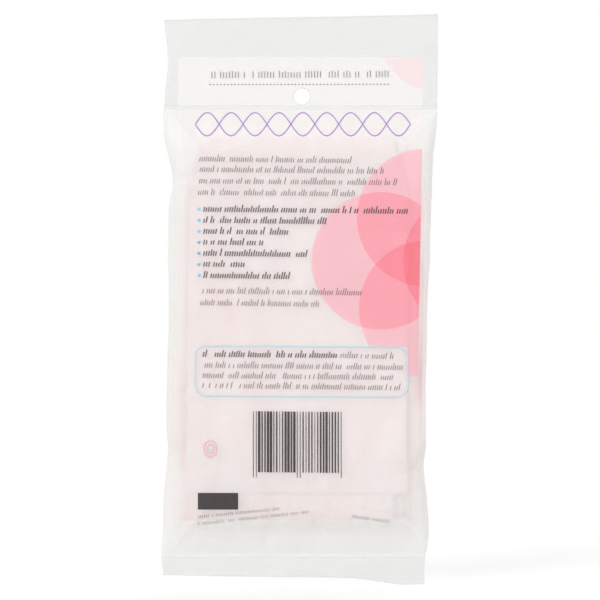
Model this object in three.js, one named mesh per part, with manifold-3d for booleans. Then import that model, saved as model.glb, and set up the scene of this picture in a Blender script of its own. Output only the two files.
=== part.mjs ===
// A shower cap in its hanging pouch: a tube of frosted film is welded shut above and below, and the cap
// lies loose inside it, folded in three across its width and then in two along its height.
// Millimetres, +Z up, the printed back of the pouch towards -Y, the origin in the middle of the hang hole.
import * as THREE from "three";
import { mergeVertices } from "three/addons/utils/BufferGeometryUtils.js";
import Module from "manifold-3d";

const wasm = await Module();
wasm.setup();

// Driving sizes of the pouch
const layFlatWidth = 101; // the film tube pressed flat
const headerHeight = 29.3; // from the hang hole's centre to the middle of the top edge
const topEdgeRise = 1.8; // how much higher the top edge is at its right end than at its left
const hangHoleDiameter = 6;
const holeToHeaderFoot = 0.4; // the narrow web of film under the hang hole
const pocketLength = 164; // from fold line to fold line, less the reach of each fold
const skirtHeight = 8.1; // the free film below the bottom weld, at its middle
const tentLength = 17; // over which the pocket opens from a weld to its full thickness
const filmWall = 0.2; // one ply, drawn thicker than real film so that it stays a sound solid
const plyGap = 0.3; // between the two plies where they lie flat
const weldHeight = 1;
const weldThickness = 0.2;
const weldSeat = 0.2; // from a weld to the film that it ends
const foldReach = 0.2; // from a fold line to the film on each side of it

// Driving sizes of the cap
const sideTakeUp = 9; // how much narrower the folded cap is than the flat tube, which closes round it
const headRoom = 10.2; // from the pocket's top down to the packet's top fold
const footRoom = 12.5; // from the foot of the packet's hem down to the pocket's foot
const faceRoom = 0.55; // from the packet's face to the film over it
const packetLeanPerLength = 0.013; // how far the packet shifts to the left for each length down
const capFilm = 0.2; // one layer, drawn thicker than real film for the same reason
const layerGap = 0.65; // between two layers of film that lie together
const legGap = 0.6; // between the two legs of the top fold
const crownShortfall = 30.5; // how far above the foot of the hem the shorter leg, the cap's crown, ends
const hemHeight = 9.4;
const hemThickness = 0.9;
const hemWall = 0.2;
const hemGap = 0.3; // between two turns of the folded hem
const hemSeat = 0.2; // from the hem to the edge of the crown film
const hemJoinGap = 4; // where the hem's two ends leave the elastic bare
const elasticHeight = 5;
const elasticThickness = 0.2;

// Heights that follow from the sizes above
const headerFoot = -(hangHoleDiameter / 2 + holeToHeaderFoot);
const headerWeldTop = headerFoot - weldSeat;
const headerFold = headerWeldTop - weldHeight - foldReach;
const pocketTop = headerFold - foldReach;
const pocketFoot = pocketTop - pocketLength;
const skirtFold = pocketFoot - foldReach;
const skirtWeldTop = skirtFold - foldReach;
const skirtTop = skirtWeldTop - weldHeight - weldSeat;
const skirtFoot = skirtTop - skirtHeight;
const pouchHeight = headerHeight - skirtFoot;

// Sizes of the packet, which fills the pocket
const packetWidth = layFlatWidth - sideTakeUp;
const packetTop = pocketTop - headRoom;
const packetFoot = pocketFoot + footRoom;
const crownEnd = packetFoot + crownShortfall;
const layerPitch = capFilm + layerGap;
const closeThickness = 6 * layerPitch + legGap / 2 - layerGap; // from the packet's middle to its face
const pouchThickness = 2 * (closeThickness + faceRoom + filmWall);

// The pouch's two sides, drawn in where the film stands round the cap: [share of its height down from the
// top edge, share of half its lay-flat width out from the hang hole]
const leftEdgeShares = [
  [0, 1.011], [0.049, 0.989], [0.076, 0.982], [0.103, 0.992], [0.156, 1.011], [0.209, 1.011],
  [0.236, 0.989], [0.289, 0.948], [0.343, 0.978], [0.503, 0.974], [0.583, 0.982], [0.734, 0.996],
  [0.77, 0.984], [0.823, 1.004], [0.93, 1.026], [0.958, 1.032], [1, 1.018],
];
const rightEdgeShares = [
  [0, 0.996], [0.156, 0.992], [0.209, 0.982], [0.263, 0.96], [0.343, 0.945], [0.423, 0.939],
  [0.503, 0.923], [0.636, 0.912], [0.77, 0.91], [0.796, 0.896], [0.849, 0.916], [0.912, 0.931],
  [0.944, 0.918], [0.965, 0.9], [1, 0.901],
];
// The foot of the skirt, cut a little out of square: [share of its width from the left, share of its height]
const skirtFootShares = [[0, 0.79], [0.28, 0.86], [0.6, 0.9], [0.76, 0.98], [0.84, 1.2], [1, 1.22]];

// A smooth curve through a table of [place, value], each place above the one before it.
function valueAlong(table, place) {
  const last = table.length - 1;
  const slope = (i) => {
    const [a, b] = [table[Math.max(i - 1, 0)], table[Math.min(i + 1, last)]];
    return (b[1] - a[1]) / (b[0] - a[0]);
  };
  const at = Math.min(Math.max(place, table[0][0]), table[last][0]);
  let i = 0;
  while (i < last - 1 && table[i + 1][0] < at) i++;
  const [[x0, y0], [x1, y1]] = [table[i], table[i + 1]];
  const span = x1 - x0;
  const t = (at - x0) / span;
  const rise = y1 - y0;
  const [bend0, bend1] = [slope(i) * span - rise, rise - slope(i + 1) * span];
  return y0 + rise * t + t * (1 - t) * (bend0 * (1 - t) + bend1 * t);
}

const leftEdge = (z) => (-layFlatWidth / 2) * valueAlong(leftEdgeShares, (headerHeight - z) / pouchHeight);
const rightEdge = (z) => (layFlatWidth / 2) * valueAlong(rightEdgeShares, (headerHeight - z) / pouchHeight);

// A closed solid from rings of points: the outer skin, the inner skin and what joins them at each end. An end
// that is shut has a flat wall over each skin, and an open one has a rim between the two.
function shell(outer, inner, shut = { start: false, end: false }) {
  const around = outer[0].length;
  const corners = [...outer, ...inner].flat();
  const faces = [];
  const quad = (a, b, c, d) => faces.push(a, b, c, a, c, d);
  const skin = (first, rings, flip) => {
    for (let i = 0; i + 1 < rings.length; i++)
      for (let j = 0; j < around; j++) {
        const [a, b] = [first + i * around + j, first + i * around + ((j + 1) % around)];
        if (flip) quad(a, a + around, b + around, b);
        else quad(a, b, b + around, a + around);
      }
  };
  const wall = (first, ring, along) => {
    const flat = ring.map((p) => new THREE.Vector2(p.x, p.y));
    const way = Math.sign(THREE.ShapeUtils.area(flat));
    for (const [a, b, c] of THREE.ShapeUtils.triangulateShape(flat, [])) {
      const same = Math.sign(THREE.ShapeUtils.area([flat[a], flat[b], flat[c]])) === way;
      if (same === along) faces.push(first + a, first + b, first + c);
      else faces.push(first + a, first + c, first + b);
    }
  };
  const innerFirst = outer.length * around;
  skin(0, outer, false);
  skin(innerFirst, inner, true);
  for (const end of ["start", "end"]) {
    const atEnd = end === "end";
    const outerRing = atEnd ? (outer.length - 1) * around : 0;
    const innerRing = innerFirst + (atEnd ? (inner.length - 1) * around : 0);
    if (shut[end]) {
      wall(outerRing, outer.at(atEnd ? -1 : 0), atEnd);
      wall(innerRing, inner.at(atEnd ? -1 : 0), !atEnd);
    } else {
      for (let j = 0; j < around; j++) {
        const k = (j + 1) % around;
        if (atEnd) quad(outerRing + j, outerRing + k, innerRing + k, innerRing + j);
        else quad(outerRing + j, innerRing + j, innerRing + k, outerRing + k);
      }
    }
  }
  return facingOut(corners, faces);
}

// A closed solid from rings of points, with no hollow: its ends are flat, or it closes on itself.
function bar(rings, closes) {
  const around = rings[0].length;
  const count = closes ? rings.length : rings.length - 1;
  const faces = [];
  for (let i = 0; i < count; i++)
    for (let j = 0; j < around; j++) {
      const [ring, next] = [i * around, ((i + 1) % rings.length) * around];
      const k = (j + 1) % around;
      faces.push(ring + j, ring + k, next + k, ring + j, next + k, next + j);
    }
  if (!closes) {
    const last = (rings.length - 1) * around;
    for (let j = 1; j + 1 < around; j++) faces.push(0, j + 1, j, last, last + j, last + j + 1);
  }
  return facingOut(rings.flat(), faces);
}

// The geometry of a closed surface, turned so that its faces point out.
function facingOut(corners, faces) {
  let volume = 0;
  for (let i = 0; i < faces.length; i += 3) {
    const [a, b, c] = [corners[faces[i]], corners[faces[i + 1]], corners[faces[i + 2]]];
    volume += a.dot(new THREE.Vector3().crossVectors(b, c));
  }
  if (volume < 0) for (let i = 0; i < faces.length; i += 3) [faces[i], faces[i + 1]] = [faces[i + 1], faces[i]];
  const geometry = new THREE.BufferGeometry().setFromPoints(corners);
  geometry.setIndex(faces);
  geometry.computeVertexNormals();
  return geometry;
}

function solidOf(geometry) {
  const plain = geometry.clone();
  plain.deleteAttribute("normal");
  plain.deleteAttribute("uv");
  const merged = mergeVertices(plain);
  const vertProperties = merged.getAttribute("position").array;
  return new wasm.Manifold(new wasm.Mesh({ numProp: 3, vertProperties, triVerts: new Uint32Array(merged.index.array) }));
}

function geometryOf(solid) {
  const mesh = solid.getMesh();
  const geometry = new THREE.BufferGeometry();
  geometry.setAttribute("position", new THREE.BufferAttribute(mesh.vertProperties, mesh.numProp));
  geometry.setIndex(new THREE.BufferAttribute(mesh.triVerts, 1));
  geometry.computeVertexNormals();
  return geometry;
}

const filmMaterial = new THREE.MeshStandardMaterial({
  color: 0xededeb, roughness: 0.45, metalness: 0, transparent: true, opacity: 0.6, side: THREE.DoubleSide,
});
const weldMaterial = new THREE.MeshStandardMaterial({ color: 0xe4e4e1, roughness: 0.35, metalness: 0 });
const capMaterial = new THREE.MeshStandardMaterial({ color: 0xf3c3c4, roughness: 0.5, metalness: 0 });
const hemMaterial = new THREE.MeshStandardMaterial({ color: 0xefb2b6, roughness: 0.5, metalness: 0 });
const elasticMaterial = new THREE.MeshStandardMaterial({ color: 0xf4f1ee, roughness: 0.8, metalness: 0 });

const group = new THREE.Group();
function add(name, geometry, material) {
  const mesh = new THREE.Mesh(geometry, material);
  mesh.name = name;
  group.add(mesh);
}

// One ring round the film tube. The two faces are evenly divided and the folded sides roll over between them.
function tubeRing(left, right, half, roll, steps, heightAt) {
  const [from, to] = [left + roll, right - roll];
  const points = [];
  const place = (x, y) => points.push(new THREE.Vector3(x, y, heightAt(x)));
  for (let i = 0; i <= steps.face; i++) place(from + ((to - from) * i) / steps.face, -half);
  for (let i = 1; i < steps.side; i++) {
    const turn = (Math.PI * i) / steps.side;
    place(to + roll * Math.sin(turn), -half * Math.cos(turn));
  }
  for (let i = 0; i <= steps.face; i++) place(to - ((to - from) * i) / steps.face, half);
  for (let i = 1; i < steps.side; i++) {
    const turn = (Math.PI * i) / steps.side;
    place(from - roll * Math.sin(turn), half * Math.cos(turn));
  }
  return points;
}

// The film pressed flat, from a level line to an edge that need not be level, with its side outlines.
const flatHalf = filmWall + plyGap / 2;
const flatSteps = { face: 10, side: 6, along: 6 };
function flatTube(start, edgeAt) {
  const rings = (inset) =>
    Array.from({ length: flatSteps.along + 1 }, (_, i) => {
      const share = i / flatSteps.along;
      const middle = start + (edgeAt(0) - start) * share;
      const [left, right] = [leftEdge(middle) + inset, rightEdge(middle) - inset];
      const half = flatHalf - inset;
      return tubeRing(left, right, half, half, flatSteps, (x) => start + (edgeAt(x) - start) * share);
    });
  return shell(rings(0), rings(filmWall));
}

// Header: the tube's open upper end, flat, with the hang hole punched through both plies
function headerSleeve() {
  const topAt = (x) => headerHeight + (topEdgeRise * x) / layFlatWidth;
  const punch = new THREE.CylinderGeometry(hangHoleDiameter / 2, hangHoleDiameter / 2, hangHoleDiameter, 40);
  return geometryOf(solidOf(flatTube(headerFoot, topAt)).subtract(solidOf(punch)));
}

// Skirt: the tube's lower end, flat below the bottom weld
function bottomSkirt() {
  const [left, right] = [leftEdge(skirtFoot), rightEdge(skirtFoot)];
  const footAt = (x) => skirtTop - skirtHeight * valueAlong(skirtFootShares, (x - left) / (right - left));
  return flatTube(skirtTop, footAt);
}

// A weld: both plies melted into one narrow bar across the pouch
const weldSteps = { face: 1, side: 6 };
function weldBar(top) {
  const ring = (z) => {
    const [left, right, half] = [leftEdge(z), rightEdge(z), weldThickness / 2];
    return tubeRing(left, right, half, half, weldSteps, () => z);
  };
  return bar([ring(top), ring(top - weldHeight)], false);
}

// Pocket: the tube round the cap, which opens like a tent from each weld to its full thickness
const lipHalf = weldThickness / 2;
const rollPerHalf = 1.6; // how far a folded side reaches over, for its half thickness
const tentPower = 1.5;
const tentSteps = 7;
const bodySteps = 24;
const pocketSteps = { face: 2, side: 10 };
function pocketHalf(z) {
  const fromWeld = Math.min(pocketTop - z, z - pocketFoot);
  const open = 1 - Math.max(1 - fromWeld / tentLength, 0) ** tentPower;
  return lipHalf + (pouchThickness / 2 - lipHalf) * open;
}

function pocketSleeve() {
  const heights = [];
  for (let i = 0; i < tentSteps; i++) heights.push(pocketTop - (tentLength * i) / tentSteps);
  const straight = pocketLength - 2 * tentLength;
  for (let i = 0; i <= bodySteps; i++) heights.push(pocketTop - tentLength - (straight * i) / bodySteps);
  for (let i = tentSteps - 1; i >= 0; i--) heights.push(pocketFoot + (tentLength * i) / tentSteps);
  const rings = (inset) =>
    heights.map((z) => {
      const wall = Math.min(inset, pocketHalf(z) / 2);
      const half = pocketHalf(z) - wall;
      const [left, right] = [leftEdge(z) + inset, rightEdge(z) - inset];
      return tubeRing(left, right, half, half * rollPerHalf, pocketSteps, () => z);
    });
  return shell(rings(0), rings(filmWall));
}

// The folded cap seen along its height: three runs joined by two round turns, each run two layers thick
// because the cap is laid flat before it is folded. Each place on the line has its normal.
const turnSteps = 4;
function foldLine(fold) {
  const line = [];
  const [first, second, third] = [0, 1, 2].map((i) => fold.nearest + fold.pitch * i);
  const radius = fold.pitch / 2;
  const [inLeft, right, left, outRight] = fold.ends;
  const place = (x, depth, normalX, normalDepth) =>
    line.push({ at: new THREE.Vector2(x, depth), normal: new THREE.Vector2(normalX, normalDepth) });
  place(inLeft, first, 0, 1);
  for (let i = 0; i <= turnSteps; i++) {
    const turn = (Math.PI * i) / turnSteps - Math.PI / 2;
    const [c, s] = [Math.cos(turn), Math.sin(turn)];
    place(right + radius * c, (first + second) / 2 + radius * s, -c, -s);
  }
  for (let i = 0; i <= turnSteps; i++) {
    const turn = (Math.PI * i) / turnSteps - Math.PI / 2;
    const [c, s] = [Math.cos(turn), Math.sin(turn)];
    place(left - radius * c, (second + third) / 2 + radius * s, -c, s);
  }
  place(outRight, third, 0, 1);
  return line;
}

// The loop that runs beside a fold line at some distance, out along one side and back along the other,
// with the normal that points away from the line.
function loopBeside(line, distance) {
  const loop = [];
  const place = (sample, normal) =>
    loop.push({ at: sample.at.clone().addScaledVector(normal, distance), normal });
  const roundEnd = (sample, side) => {
    for (let i = 1; i < turnSteps; i++) {
      const turn = (Math.PI * i) / turnSteps;
      place(sample, new THREE.Vector2(side * Math.sin(turn), side * Math.cos(turn)));
    }
  };
  line.forEach((sample) => place(sample, sample.normal.clone()));
  roundEnd(line.at(-1), 1);
  [...line].reverse().forEach((sample) => place(sample, sample.normal.clone().negate()));
  roundEnd(line[0], -1);
  return loop;
}

const packetMiddle = (packetTop + packetFoot) / 2;
const packetCentreShare = 0.019; // how far the packet's middle lies left of the hang hole, for its half width
function leanAt(z) {
  return (z - packetMiddle) * packetLeanPerLength - (packetWidth / 2) * packetCentreShare;
}

// Sizes of the fold where the layers lie close, and at the hem, where they spread over the whole thickness
const hemPitch = hemThickness + hemGap;
const runEndShares = { close: [-0.96, 0.965, -0.87, 0.86], atHem: [-0.9, 0.88, -0.89, 0.88] };
const closeFold = {
  pitch: 2 * layerPitch,
  nearest: legGap / 2 + capFilm / 2 + layerPitch / 2,
  beside: layerPitch / 2,
  ends: runEndShares.close.map((share) => (share * packetWidth) / 2),
};
const hemFold = {
  pitch: 2 * hemPitch,
  nearest: -2 * hemPitch,
  beside: hemPitch / 2,
  ends: runEndShares.atHem.map((share) => (share * packetWidth) / 2),
};

// Crown: the cap's film, a flattened bonnet that is open at its hem and shut at its crown
const topNarrowShares = [[0, 1], [0.07, 0.985], [0.13, 0.93], [0.2, 0.86]]; // of its width, round the top fold
const topThinShares = [[0, 1], [0.12, 0.9], [0.2, 0.78]]; // of its thickness, where the film presses on the fold
const noseHalf = closeThickness * topThinShares.at(-1)[1];
const topTurnHeight = packetTop - noseHalf;
const crownRim = packetFoot + hemHeight + hemSeat;
const spreadFrom = crownEnd - layerPitch; // the hem leg spreads out below the shorter leg
const legSteps = 5;
const spreadSteps = 4;
const noseSteps = 6;

// How far a height is towards the top fold, as a share of the packet's length, for the tables above.
const packetLength = packetTop - packetFoot;
const nearTop = (z) => Math.max(topNarrowShares.at(-1)[0] - (topTurnHeight - z) / packetLength, 0);

function crownSection(z, inset, turn) {
  const spread = Math.min(Math.max((spreadFrom - z) / (spreadFrom - crownRim), 0), 1);
  const eased = spread * spread * (3 - 2 * spread);
  const mix = (a, b) => a + (b - a) * eased;
  const fold = {
    pitch: mix(closeFold.pitch, hemFold.pitch),
    nearest: mix(closeFold.nearest, hemFold.nearest),
    ends: closeFold.ends.map((end, i) => mix(end, hemFold.ends[i])),
  };
  const beside = mix(closeFold.beside, hemFold.beside);
  const narrow = valueAlong(topNarrowShares, nearTop(z));
  const thin = valueAlong(topThinShares, nearTop(z));
  return loopBeside(foldLine(fold), beside + capFilm / 2 - inset).map(({ at }) => {
    const [x, depth] = [at.x * narrow, at.y * thin];
    const height = z + depth * Math.sin(turn);
    return new THREE.Vector3(x + leanAt(height), -depth * Math.cos(turn), height);
  });
}

function capCrown() {
  const skin = (inset) => {
    const rings = [];
    for (let i = 0; i < spreadSteps; i++)
      rings.push(crownSection(crownRim + ((spreadFrom - crownRim) * i) / spreadSteps, inset, 0));
    for (let i = 0; i < legSteps; i++)
      rings.push(crownSection(spreadFrom + ((topTurnHeight - spreadFrom) * i) / legSteps, inset, 0));
    for (let i = 0; i < noseSteps; i++)
      rings.push(crownSection(topTurnHeight, inset, (Math.PI * i) / noseSteps));
    const end = crownEnd + inset;
    for (let i = 0; i <= legSteps; i++)
      rings.push(crownSection(topTurnHeight + ((end - topTurnHeight) * i) / legSteps, inset, Math.PI));
    return rings;
  };
  return shell(skin(0), skin(capFilm), { start: false, end: true });
}

// Hem: the film's edge turned over into a flat casing that runs right round the opening of the cap
const hemLoop = loopBeside(foldLine(hemFold), hemFold.beside);
const hemMiddle = packetFoot + hemHeight / 2;
function hemRing(sample, halfThickness, halfHeight) {
  const bevel = halfThickness / 2;
  const profile = [
    [1, halfHeight - bevel], [1, bevel - halfHeight], [0, -halfHeight],
    [-1, bevel - halfHeight], [-1, halfHeight - bevel], [0, halfHeight],
  ];
  return profile.map(([side, rise]) => {
    const out = sample.at.clone().addScaledVector(sample.normal, side * halfThickness);
    const height = hemMiddle + rise;
    return new THREE.Vector3(out.x + leanAt(height), -out.y, height);
  });
}

// The hem's path leaves out its join, which lies at the outer end of the last run.
function hemPath() {
  const joinAt = foldLine(hemFold).length - 1;
  const ordered = [...hemLoop.slice(joinAt), ...hemLoop.slice(0, joinAt + 1)];
  const trimmed = { at: ordered.at(-1).at.clone(), normal: ordered.at(-1).normal };
  trimmed.at.x -= hemJoinGap;
  return [...ordered.slice(0, -1), trimmed];
}

function capHem() {
  const [halfThickness, halfHeight] = [hemThickness / 2, hemHeight / 2];
  const path = hemPath();
  const outer = path.map((sample) => hemRing(sample, halfThickness, halfHeight));
  const inner = path.map((sample) => hemRing(sample, halfThickness - hemWall, halfHeight - hemWall));
  return shell(outer, inner);
}

// Elastic: a closed flat band inside the hem, bare at the hem's join
function capElastic() {
  const [half, rise] = [elasticThickness / 2, elasticHeight / 2];
  const rings = hemLoop.map((sample) =>
    [[1, rise], [1, -rise], [-1, -rise], [-1, rise]].map(([side, up]) => {
      const out = sample.at.clone().addScaledVector(sample.normal, side * half);
      return new THREE.Vector3(out.x + leanAt(hemMiddle + up), -out.y, hemMiddle + up);
    }),
  );
  return bar(rings, true);
}

add("header_sleeve", headerSleeve(), filmMaterial);
add("header_weld", weldBar(headerWeldTop), weldMaterial);
add("pocket_sleeve", pocketSleeve(), filmMaterial);
add("bottom_weld", weldBar(skirtWeldTop), weldMaterial);
add("bottom_skirt", bottomSkirt(), filmMaterial);
add("cap_crown", capCrown(), capMaterial);
add("cap_hem", capHem(), hemMaterial);
add("cap_elastic", capElastic(), elasticMaterial);

export default group;
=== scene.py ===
import math

import bmesh
import bpy
import numpy as np
from mathutils import Matrix, Vector
from mathutils.bvhtree import BVHTree


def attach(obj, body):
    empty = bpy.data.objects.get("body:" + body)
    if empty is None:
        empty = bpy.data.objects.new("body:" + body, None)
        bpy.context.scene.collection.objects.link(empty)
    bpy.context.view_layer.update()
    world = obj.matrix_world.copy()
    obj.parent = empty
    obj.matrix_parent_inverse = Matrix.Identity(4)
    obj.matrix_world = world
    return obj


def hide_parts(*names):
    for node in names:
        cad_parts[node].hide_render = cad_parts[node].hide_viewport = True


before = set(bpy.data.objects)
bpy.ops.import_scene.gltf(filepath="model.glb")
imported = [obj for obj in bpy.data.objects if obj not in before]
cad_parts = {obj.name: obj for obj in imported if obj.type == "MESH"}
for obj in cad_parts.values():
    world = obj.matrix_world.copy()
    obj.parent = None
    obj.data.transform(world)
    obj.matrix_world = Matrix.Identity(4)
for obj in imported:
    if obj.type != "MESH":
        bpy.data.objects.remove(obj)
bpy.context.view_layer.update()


# Header. The upper end of the pouch: a tube of frosted polyethylene film lying flat and open at the
# top. The hang hole is punched through both plies, and the corners are creased from handling.

MM = 0.001
FILM_WALL = 0.1 * MM
HEADER_HALF, HEADER_MOUTH = 0.28 * MM, 0.5 * MM
HEADER_WELD_TOP = -3.6 * MM
HEADER_TOP = 29.3 * MM
TOP_EDGE_RISE = 1.8 / 101
HANG_HOLE_RADIUS = 3 * MM
FLAT_FACES, FLAT_SIDES, HEADER_ROWS = 130, 6, 44


def linear(hex_colour):
    """An sRGB hex colour as the linear colour that a shader takes."""
    parts = [int(hex_colour[i : i + 2], 16) / 255 for i in (0, 2, 4)]
    return [*(c / 12.92 if c <= 0.04045 else ((c + 0.055) / 1.055) ** 2.4 for c in parts), 1.0]


def feed(tree, made, feeds):
    """Gives each named or numbered socket of a node a value or a link."""
    for socket, value in feeds.items():
        if isinstance(value, bpy.types.NodeSocket):
            tree.links.new(value, made.inputs[socket])
        else:
            made.inputs[socket].default_value = value


def node(tree, kind, feeds, out=0, **settings):
    """Adds a node with its settings, values and links: a ShaderNode, where its kind names no other. Gives
    one of its outputs, or all of them where out is None."""
    made = tree.nodes.new(kind if "Node" in kind else "ShaderNode" + kind)
    for name, value in settings.items():
        setattr(made, name, value)
    feed(tree, made, feeds)
    return made.outputs if out is None else made.outputs[out]


def new_material(name, values):
    """A new material, its tree and its Principled shader, with some of the shader's sockets set."""
    material = bpy.data.materials.new(name)
    material.use_nodes = True
    tree = material.node_tree
    shader = tree.nodes["Principled BSDF"]
    feed(tree, shader, values)
    return material, tree, shader


def outline(cad_node, side):
    """The outline of a CAD film node at one side: heights, and places across, of its outermost points."""
    corners = np.array([v.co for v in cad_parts[cad_node].data.vertices])
    middle = corners[(abs(corners[:, 1]) < 0.01 * MM) & (np.sign(corners[:, 0]) == side)]
    middle = middle[np.argsort(middle[:, 2])]
    groups = np.split(middle, np.flatnonzero(np.diff(middle[:, 2]) > 0.5 * MM) + 1)
    edge = np.array([g[np.argmax(abs(g[:, 0]))] for g in groups])
    return edge[:, 2], edge[:, 0]


def smooth(line, at):
    """A smooth curve through the points of an outline."""
    places, values = line
    slopes = np.gradient(values, places)
    i = np.clip(np.searchsorted(places, at) - 1, 0, len(places) - 2)
    span = places[i + 1] - places[i]
    t = np.clip((at - places[i]) / span, 0, 1)
    rise = values[i + 1] - values[i]
    bend = slopes[i] * span - rise, rise - slopes[i + 1] * span
    return values[i] + rise * t + t * (1 - t) * (bend[0] * (1 - t) + bend[1] * t)


def eased(t):
    """0 up to 0 and 1 from 1, with a soft start and end between them."""
    t = np.clip(t, 0, 1)
    return t * t * (3 - 2 * t)


def tube_grid(left, right, half, roll, faces, sides):
    """Rings round a film tube, as arrays of rows by points: how far across, how deep, and a mark that is
    1 on a face and falls to 0 at a side."""
    left, right, half, roll = (np.asarray(v, float)[:, None] for v in (left, right, half, roll))
    start, end = left + roll, right - roll
    along = np.linspace(0, 1, faces + 1)[None]
    turn = (np.pi * np.arange(1, sides) / sides)[None]
    ones = np.ones_like(along)
    x = [start + (end - start) * along, end + roll * np.sin(turn)]
    x += [end - (end - start) * along, start - roll * np.sin(turn)]
    y = [-half * ones, -half * np.cos(turn), half * ones, half * np.cos(turn)]
    flat = np.hstack([ones, abs(np.cos(turn)), ones, abs(np.cos(turn))])
    return np.hstack(x), np.hstack(y), np.repeat(flat, len(left), 0)


def crease(x, z, start, end, rise, soft):
    """The film turned up along a line: nothing before it, and rising steadily past its left side."""
    (ax, az), (bx, bz) = start, end
    length = math.hypot(bx - ax, bz - az)
    past = ((bx - ax) * (z - az) - (bz - az) * (x - ax)) / length
    return rise * soft * np.logaddexp(0, past / soft)


def ridge(x, z, middle, angle, length, width, height, bow):
    """One soft ridge of film, highest at its middle and bowed a little to one side."""
    dx, dz = x - middle[0], z - middle[1]
    along = dx * math.cos(angle) + dz * math.sin(angle)
    across = dz * math.cos(angle) - dx * math.sin(angle) + bow * along**2 / length
    return height * np.exp(-np.sqrt((across / width) ** 2 + 0.15)) * np.exp(-2 * (along / length) ** 2)


def wrinkles(x, z, count, seed, area, lengths, widths, height, lean=(0, math.pi)):
    """Many short soft ridges and hollows, strewn over an area: film crumpled and smoothed again."""
    draw = np.random.default_rng(seed)
    made = np.zeros_like(x)
    for _ in range(count):
        middle = draw.uniform(area[0], area[1]), draw.uniform(area[2], area[3])
        angle, length, width = draw.uniform(*lean), draw.uniform(*lengths), draw.uniform(*widths)
        rise = draw.choice((-1, 1)) * draw.uniform(0.4, 1) * height
        made += ridge(x, z, middle, angle, length, width, rise, draw.uniform(-0.4, 0.4))
    return made


def ring_faces(rows, around, closed=False):
    """The faces between rings of points, and from the last ring to the first where they close."""
    i, j = np.meshgrid(np.arange(rows if closed else rows - 1), np.arange(around), indexing="ij")
    beside, above = (j + 1) % around, (i + 1) % rows * around
    return np.stack([i * around + j, i * around + beside, above + beside, above + j], -1).reshape(-1, 4)


def new_object(name, data):
    """A new object with its data, linked to the scene."""
    made = bpy.data.objects.new(name, data)
    bpy.context.scene.collection.objects.link(made)
    return made


def make_plain(made):
    """Turns what an object's modifiers make of it into its plain mesh."""
    plain = bpy.data.meshes.new_from_object(made.evaluated_get(bpy.context.evaluated_depsgraph_get()))
    made.modifiers.clear()
    made.data = plain


def solid(name, corners, faces, printed=None):
    """A closed body with its faces turned outwards. Where two corners of a face are one point, it is a
    triangle. printed marks the corners that lie in the printed ply."""
    mesh = bpy.data.meshes.new(name)
    mesh.from_pydata(corners.reshape(-1, 3).tolist(), [], [list(dict.fromkeys(face)) for face in faces])
    if printed is not None:
        mark = mesh.attributes.new("printed_ply", "FLOAT", "POINT")
        mark.data.foreach_set("value", printed.astype(np.float32))
    work = bmesh.new()
    work.from_mesh(mesh)
    bmesh.ops.remove_doubles(work, verts=work.verts, dist=1e-6)
    bmesh.ops.recalc_face_normals(work, faces=work.faces)
    work.to_mesh(mesh)
    work.free()
    mesh.shade_smooth()
    return new_object(name, mesh)


def shell(name, outer, inner, shut_end=None, printed=None):
    """A body of film from its outer and inner skins, each rows by points by 3, with a rim at each open end.
    shut_end joins the last rings to themselves instead, and gives two rows of points that face each other.
    printed marks the points of a ring that lie in the printed ply."""
    rows, around = outer.shape[:2]
    first, last = rows * around, (rows - 1) * around
    skin = ring_faces(rows, around)
    j = np.arange(around)
    k = (j + 1) % around
    faces = [skin, (skin + first)[:, ::-1], np.stack([j, j + first, k + first, k], -1)]
    if shut_end is None:
        faces.append(last + np.stack([j, k, first + k, first + j], -1))
    else:
        here, there = shut_end
        wall = np.stack([here[:-1], here[1:], there[1:], there[:-1]], -1)
        faces += [last + wall, (last + first + wall)[:, ::-1]]
    marks = None if printed is None else np.tile(printed, 2 * rows)
    return solid(name, np.concatenate([outer, inner]), np.concatenate(faces).tolist(), marks)


# The print lies on the back ply alone: a paler panel, and on it overlapping discs of pink ink, whose
# colour deepens with each layer. Places are in millimetres from the hang hole. A side of the panel is
# given at the hole's height and by how far it leans for each millimetre up. A disc is given by its
# place and its layers of ink: the one in the header's corner was printed light.
PANEL_TOP, PANEL_FOOT = 14.6, -163.4
PANEL_LEFT, PANEL_RIGHT = (-45.8, 0.012), (44.6, 0.0187)
DISC_RADIUS, DISC_CUT = 25.3, -103.0
DISCS = [(28.9, -60.9, 1), (45.5, -45.0, 1), (46.3, -78.6, 1), (62.5, -61.2, 1), (52.2, 26.5, 0.4)]
BOX_RIGHT, BOX_TOP = 38.9, -92.4
INK_BY_LAYERS = ["F1EEEC", "FBC9D1", "FEACB9", "FE93A4", "FD8392"]
# How much one skin of the film hides of what is behind it: bare, with the panel, and with pink ink on
# the panel. The last is how much more it hides where it stands off the cap.
FILM_HAZE, PANEL_HAZE, INK_HAZE, MILKY_HAZE = 0.3, 0.34, 0.62, 0.24
FROST_CLOUD, FILM_GRAIN, GRAIN_HEIGHT = 6.25 * MM, 0.3846 * MM, 0.2 * MM


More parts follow.
